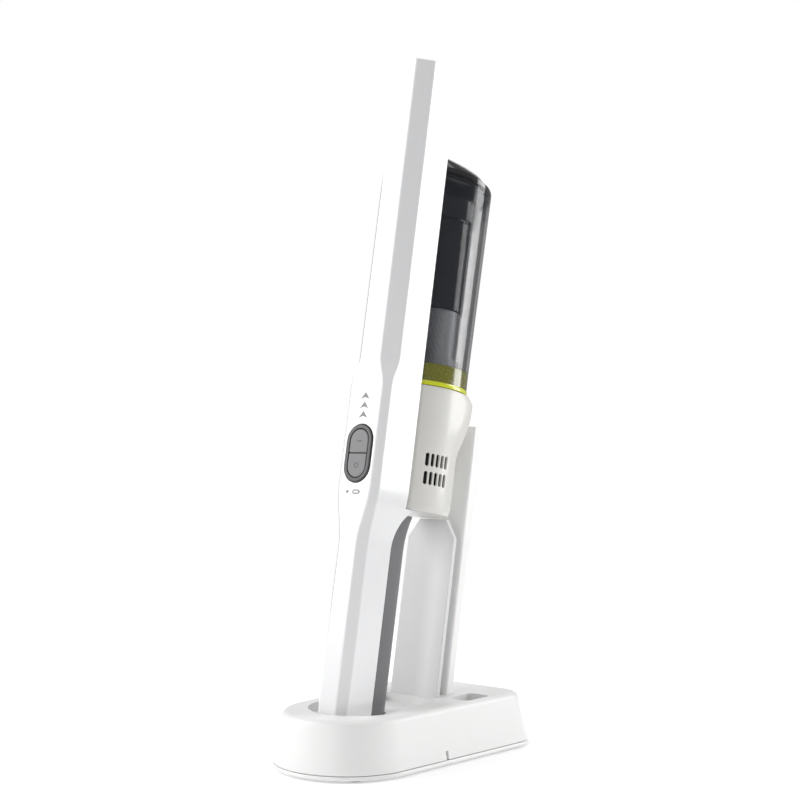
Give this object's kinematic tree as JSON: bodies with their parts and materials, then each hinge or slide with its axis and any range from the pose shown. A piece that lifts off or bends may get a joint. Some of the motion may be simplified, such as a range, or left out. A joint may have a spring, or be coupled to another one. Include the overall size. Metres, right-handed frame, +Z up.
{
  "type": "handheld vacuum",
  "caption": "Slim white cordless hand vacuum with a smoked clear dust cup, standing nozzle-up in a white charging dock beside its crevice tool.",
  "frame": {"origin": "middle of the whole object's footprint, on the surface it stands on", "axes": "+Z up; the vacuum's button side faces -Y and it leans back towards +Y; +X is to the right seen from the button side"},
  "size_m": [0.104, 0.1744, 0.4383],
  "materials": {
    "white_gloss": "smooth white gloss",
    "white_satin": "fine satin white",
    "ivory_satin": "satin, a little warmer than the spine",
    "light_grey": "fine matt light grey",
    "grip_grey": "soft-touch dark grey",
    "bezel_grey": "matt dark grey",
    "button_grey": "matt mid grey",
    "smoked_clear": "clear smoked plastic",
    "black_plastic": "satin black",
    "yellow_clear": "clear lime yellow",
    "steel": "plain steel",
    "gold": "gold-plated contacts",
    "filter_fabric": "pleated white filter paper",
    "rubber": "black rubber",
    "board_green": "green circuit board",
    "cell_wrap": "blue shrink wrap over steel cells"
  },
  "bodies": {
    "dock": {"dock_shell": "white_satin", "dock_base_plate": "white_satin", "dock_support_plate": "light_grey", "dock_contact_block": "black_plastic", "dock_power_socket": "black_plastic", "dock_charge_pin_left": "gold", "dock_charge_pin_right": "gold", "dock_foot_1": "rubber", "dock_foot_2": "rubber", "dock_foot_3": "rubber", "dock_foot_4": "rubber", "dock_screw_1": "steel", "dock_screw_2": "steel", "dock_screw_3": "steel", "dock_screw_4": "steel", "dock_weight_left": "steel", "dock_weight_right": "steel"},
    "vacuum": {"front_shell": "white_gloss", "nozzle_back_plate": "white_gloss", "suction_duct": "black_plastic", "handle_grip": "grip_grey", "grip_screw_1": "steel", "grip_screw_2": "steel", "handle_end_cap": "white_gloss", "charge_contact_left": "gold", "charge_contact_right": "gold", "battery_cell_1": "cell_wrap", "battery_cell_2": "cell_wrap", "control_board": "board_green", "button_bezel": "bezel_grey", "power_switch": "black_plastic", "mode_switch": "black_plastic", "motor_housing": "ivory_satin", "motor": "steel", "motor_mount_ring": "rubber"},
    "rotor": {"impeller": "black_plastic", "motor_shaft": "steel"},
    "power_button": {"power_button": "button_grey"},
    "mode_button": {"mode_button": "button_grey"},
    "cup_release": {"cup_release_button": "light_grey"},
    "cup": {"dust_cup": "smoked_clear", "filter_collar": "yellow_clear", "pleated_filter": "filter_fabric", "mesh_filter": "steel", "cyclone_core": "black_plastic", "intake_hood": "black_plastic", "door_hinge_pin": "steel"},
    "flap": {"intake_flap": "rubber"},
    "door": {"cup_door": "black_plastic", "door_seal": "rubber"},
    "latch": {"door_latch": "bezel_grey"},
    "tool": {"crevice_tool": "white_satin"}
  },
  "joints": [
    {"name": "vacuum_lift", "type": "slide", "parent": "dock", "child": "vacuum", "axis": [0, 0.1822, 0.9833], "range_m": [0, 0.06]},
    {"name": "tool_lift", "type": "slide", "parent": "dock", "child": "tool", "axis": [0, 0.1822, 0.9833], "range_m": [0, 0.06]},
    {"name": "rotor_spin", "type": "hinge", "parent": "vacuum", "child": "rotor", "pos_m": [0, 0.02756, 0.20001], "axis": [0, 0.1822, 0.9833], "continuous": true},
    {"name": "power_button_press", "type": "slide", "parent": "vacuum", "child": "power_button", "axis": [0, 0.9833, -0.1822], "range_m": [0, 0.0012], "stiffness_N_per_m": 800, "springref_m": -0.0008},
    {"name": "mode_button_press", "type": "slide", "parent": "vacuum", "child": "mode_button", "axis": [0, 0.9833, -0.1822], "range_m": [0, 0.0012], "stiffness_N_per_m": 800, "springref_m": -0.0008},
    {"name": "cup_release_press", "type": "slide", "parent": "vacuum", "child": "cup_release", "axis": [0, -0.9833, 0.1822], "range_m": [0, 0.0015], "stiffness_N_per_m": 800, "springref_m": -0.001},
    {"name": "cup_pull_off", "type": "slide", "parent": "vacuum", "child": "cup", "axis": [0, 0.1822, 0.9833], "range_m": [0, 0.025]},
    {"name": "intake_flap_swing", "type": "hinge", "parent": "cup", "child": "flap", "pos_m": [0, 0.03972, 0.35092], "axis": [1, 0, 0], "range_deg": [0, 30], "stiffness_Nm_per_rad": 0.0004, "springref_deg": -17.19},
    {"name": "door_swing", "type": "hinge", "parent": "cup", "child": "door", "pos_m": [0, 0.08504, 0.35101], "axis": [-1, 0, 0], "range_deg": [0, 105]},
    {"name": "door_latch_press", "type": "slide", "parent": "door", "child": "latch", "axis": [0, -0.1822, -0.9833], "range_m": [0, 0.002], "stiffness_N_per_m": 600, "springref_m": -0.001}
  ]
}
